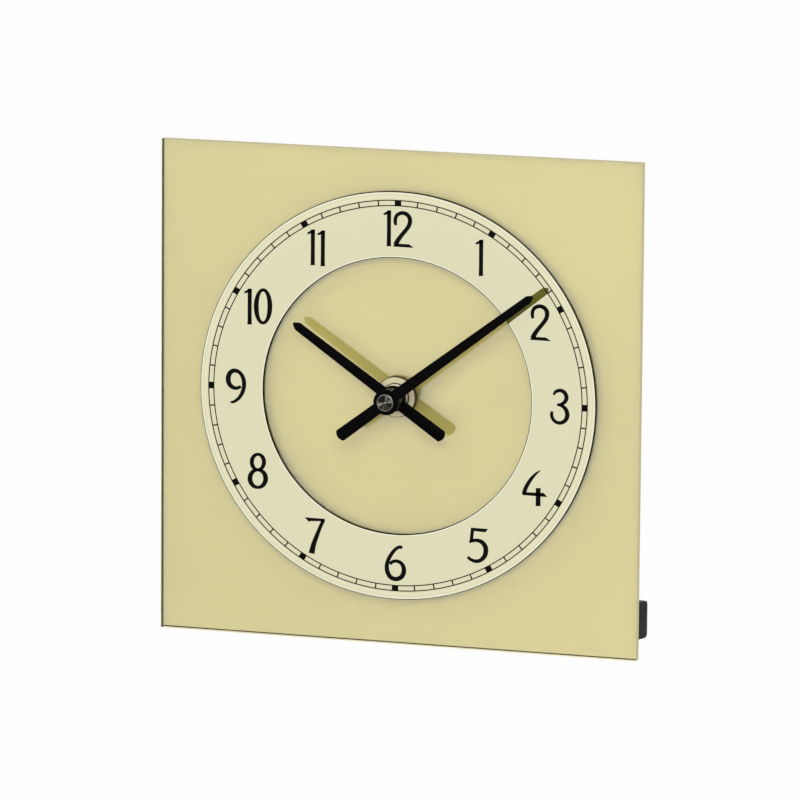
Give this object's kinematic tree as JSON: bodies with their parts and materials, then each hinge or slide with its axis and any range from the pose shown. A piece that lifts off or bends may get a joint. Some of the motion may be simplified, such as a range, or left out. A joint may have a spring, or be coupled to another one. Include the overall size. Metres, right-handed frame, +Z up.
{
  "type": "table clock",
  "caption": "Small analogue table clock: a square gold glass plate with a raised metal numeral ring, black stick hands, a battery movement behind and a low bent strip as its stand.",
  "frame": {"origin": "on the table, below the middle of the clock's bounding box", "axes": "+X to the right seen from the front, +Y to the back, square to the glass plate, +Z up"},
  "size_m": [0.14, 0.045, 0.14],
  "materials": {
    "clear_glass": "clear, polished edges",
    "gold_lacquer": "metallic gold lacquer seen through glass",
    "champagne_metal": "polished, pale champagne",
    "champagne_nut": "turned, pale gold",
    "black_rubber": "matt",
    "black_plastic": "fine texture",
    "white_plastic": "moulded acetal",
    "brass_arbor": "turned",
    "dark_magnet": "sintered",
    "soft_iron": "stamped",
    "copper_wire": "enamelled copper wire",
    "board_green": "paper laminate",
    "bright_can": "nickel plated",
    "battery_jacket": "plain jacket",
    "black_lacquer": "matt black",
    "silver_cap": "turned, satin nickel",
    "black_paint": "satin black",
    "white_foam": "double-sided foam tape"
  },
  "bodies": {
    "plate": {"centre_nut": "champagne_nut", "chapter_ring": "champagne_metal", "circuit_board": "board_green", "clock_chip": "black_plastic", "coil_bobbin": "white_plastic", "coil_core": "soft_iron", "coil_winding": "copper_wire", "contact_minus": "bright_can", "contact_plus": "bright_can", "front_housing": "black_plastic", "gear_plate": "white_plastic", "glass_plate": "clear_glass", "gold_coating": "gold_lacquer", "quartz_crystal": "bright_can", "rear_cover": "black_plastic", "rubber_gasket": "black_rubber", "stand_bracket": "black_paint", "stand_pad_left": "white_foam", "stand_pad_right": "white_foam", "stator": "soft_iron"},
    "minute": {"minute_arbor": "brass_arbor", "minute_hand": "black_lacquer", "minute_hand_hub": "black_lacquer", "cap_nut": "silver_cap"},
    "hour": {"hour_wheel": "white_plastic", "hour_hand": "black_lacquer", "hour_hand_hub": "black_lacquer"},
    "motion_wheel": {"minute_wheel": "white_plastic"},
    "knob": {"setting_knob": "black_plastic"},
    "rotor": {"rotor_pinion": "white_plastic", "rotor_magnet": "dark_magnet"},
    "intermediate": {"intermediate_wheel": "white_plastic"},
    "seconds": {"seconds_wheel": "white_plastic"},
    "third": {"third_wheel": "white_plastic"},
    "centre": {"centre_wheel": "white_plastic"},
    "cell": {"battery": "battery_jacket"}
  },
  "joints": [
    {"name": "minute_spin", "type": "hinge", "parent": "plate", "child": "minute", "pos_m": [0, 0, 0.0709], "axis": [0, 1, 0], "continuous": true},
    {"name": "hour_spin", "type": "hinge", "parent": "plate", "child": "hour", "pos_m": [0, 0, 0.0709], "axis": [0, 1, 0], "continuous": true},
    {"name": "motion_wheel_spin", "type": "hinge", "parent": "plate", "child": "motion_wheel", "pos_m": [0.01064, 0, 0.07278], "axis": [0, 1, 0], "continuous": true},
    {"name": "knob_spin", "type": "hinge", "parent": "plate", "child": "knob", "pos_m": [0.02107, 0, 0.06998], "axis": [0, 1, 0], "continuous": true},
    {"name": "rotor_spin", "type": "hinge", "parent": "plate", "child": "rotor", "pos_m": [0.01645, 0, 0.08406], "axis": [0, 1, 0], "continuous": true},
    {"name": "intermediate_spin", "type": "hinge", "parent": "plate", "child": "intermediate", "pos_m": [0.00866, 0, 0.07956], "axis": [0, 1, 0], "continuous": true},
    {"name": "seconds_spin", "type": "hinge", "parent": "plate", "child": "seconds", "pos_m": [0, 0, 0.0709], "axis": [0, 1, 0], "continuous": true},
    {"name": "third_spin", "type": "hinge", "parent": "plate", "child": "third", "pos_m": [-0.00842, 0, 0.07932], "axis": [0, 1, 0], "continuous": true},
    {"name": "centre_spin", "type": "hinge", "parent": "plate", "child": "centre", "pos_m": [0, 0, 0.0709], "axis": [0, 1, 0], "continuous": true},
    {"name": "battery_slide", "type": "slide", "parent": "plate", "child": "cell", "axis": [0, 1, 0], "range_m": [0, 0.018]}
  ],
  "couplings": [
    {"joint": "hour_spin", "follows": "minute_spin", "ratio": 0.083333},
    {"joint": "motion_wheel_spin", "follows": "minute_spin", "ratio": -0.33333},
    {"joint": "knob_spin", "follows": "minute_spin", "ratio": 1},
    {"joint": "intermediate_spin", "follows": "rotor_spin", "ratio": -0.2},
    {"joint": "seconds_spin", "follows": "rotor_spin", "ratio": 0.033333},
    {"joint": "third_spin", "follows": "rotor_spin", "ratio": -0.0044444},
    {"joint": "centre_spin", "follows": "rotor_spin", "ratio": 0.00055556}
  ]
}
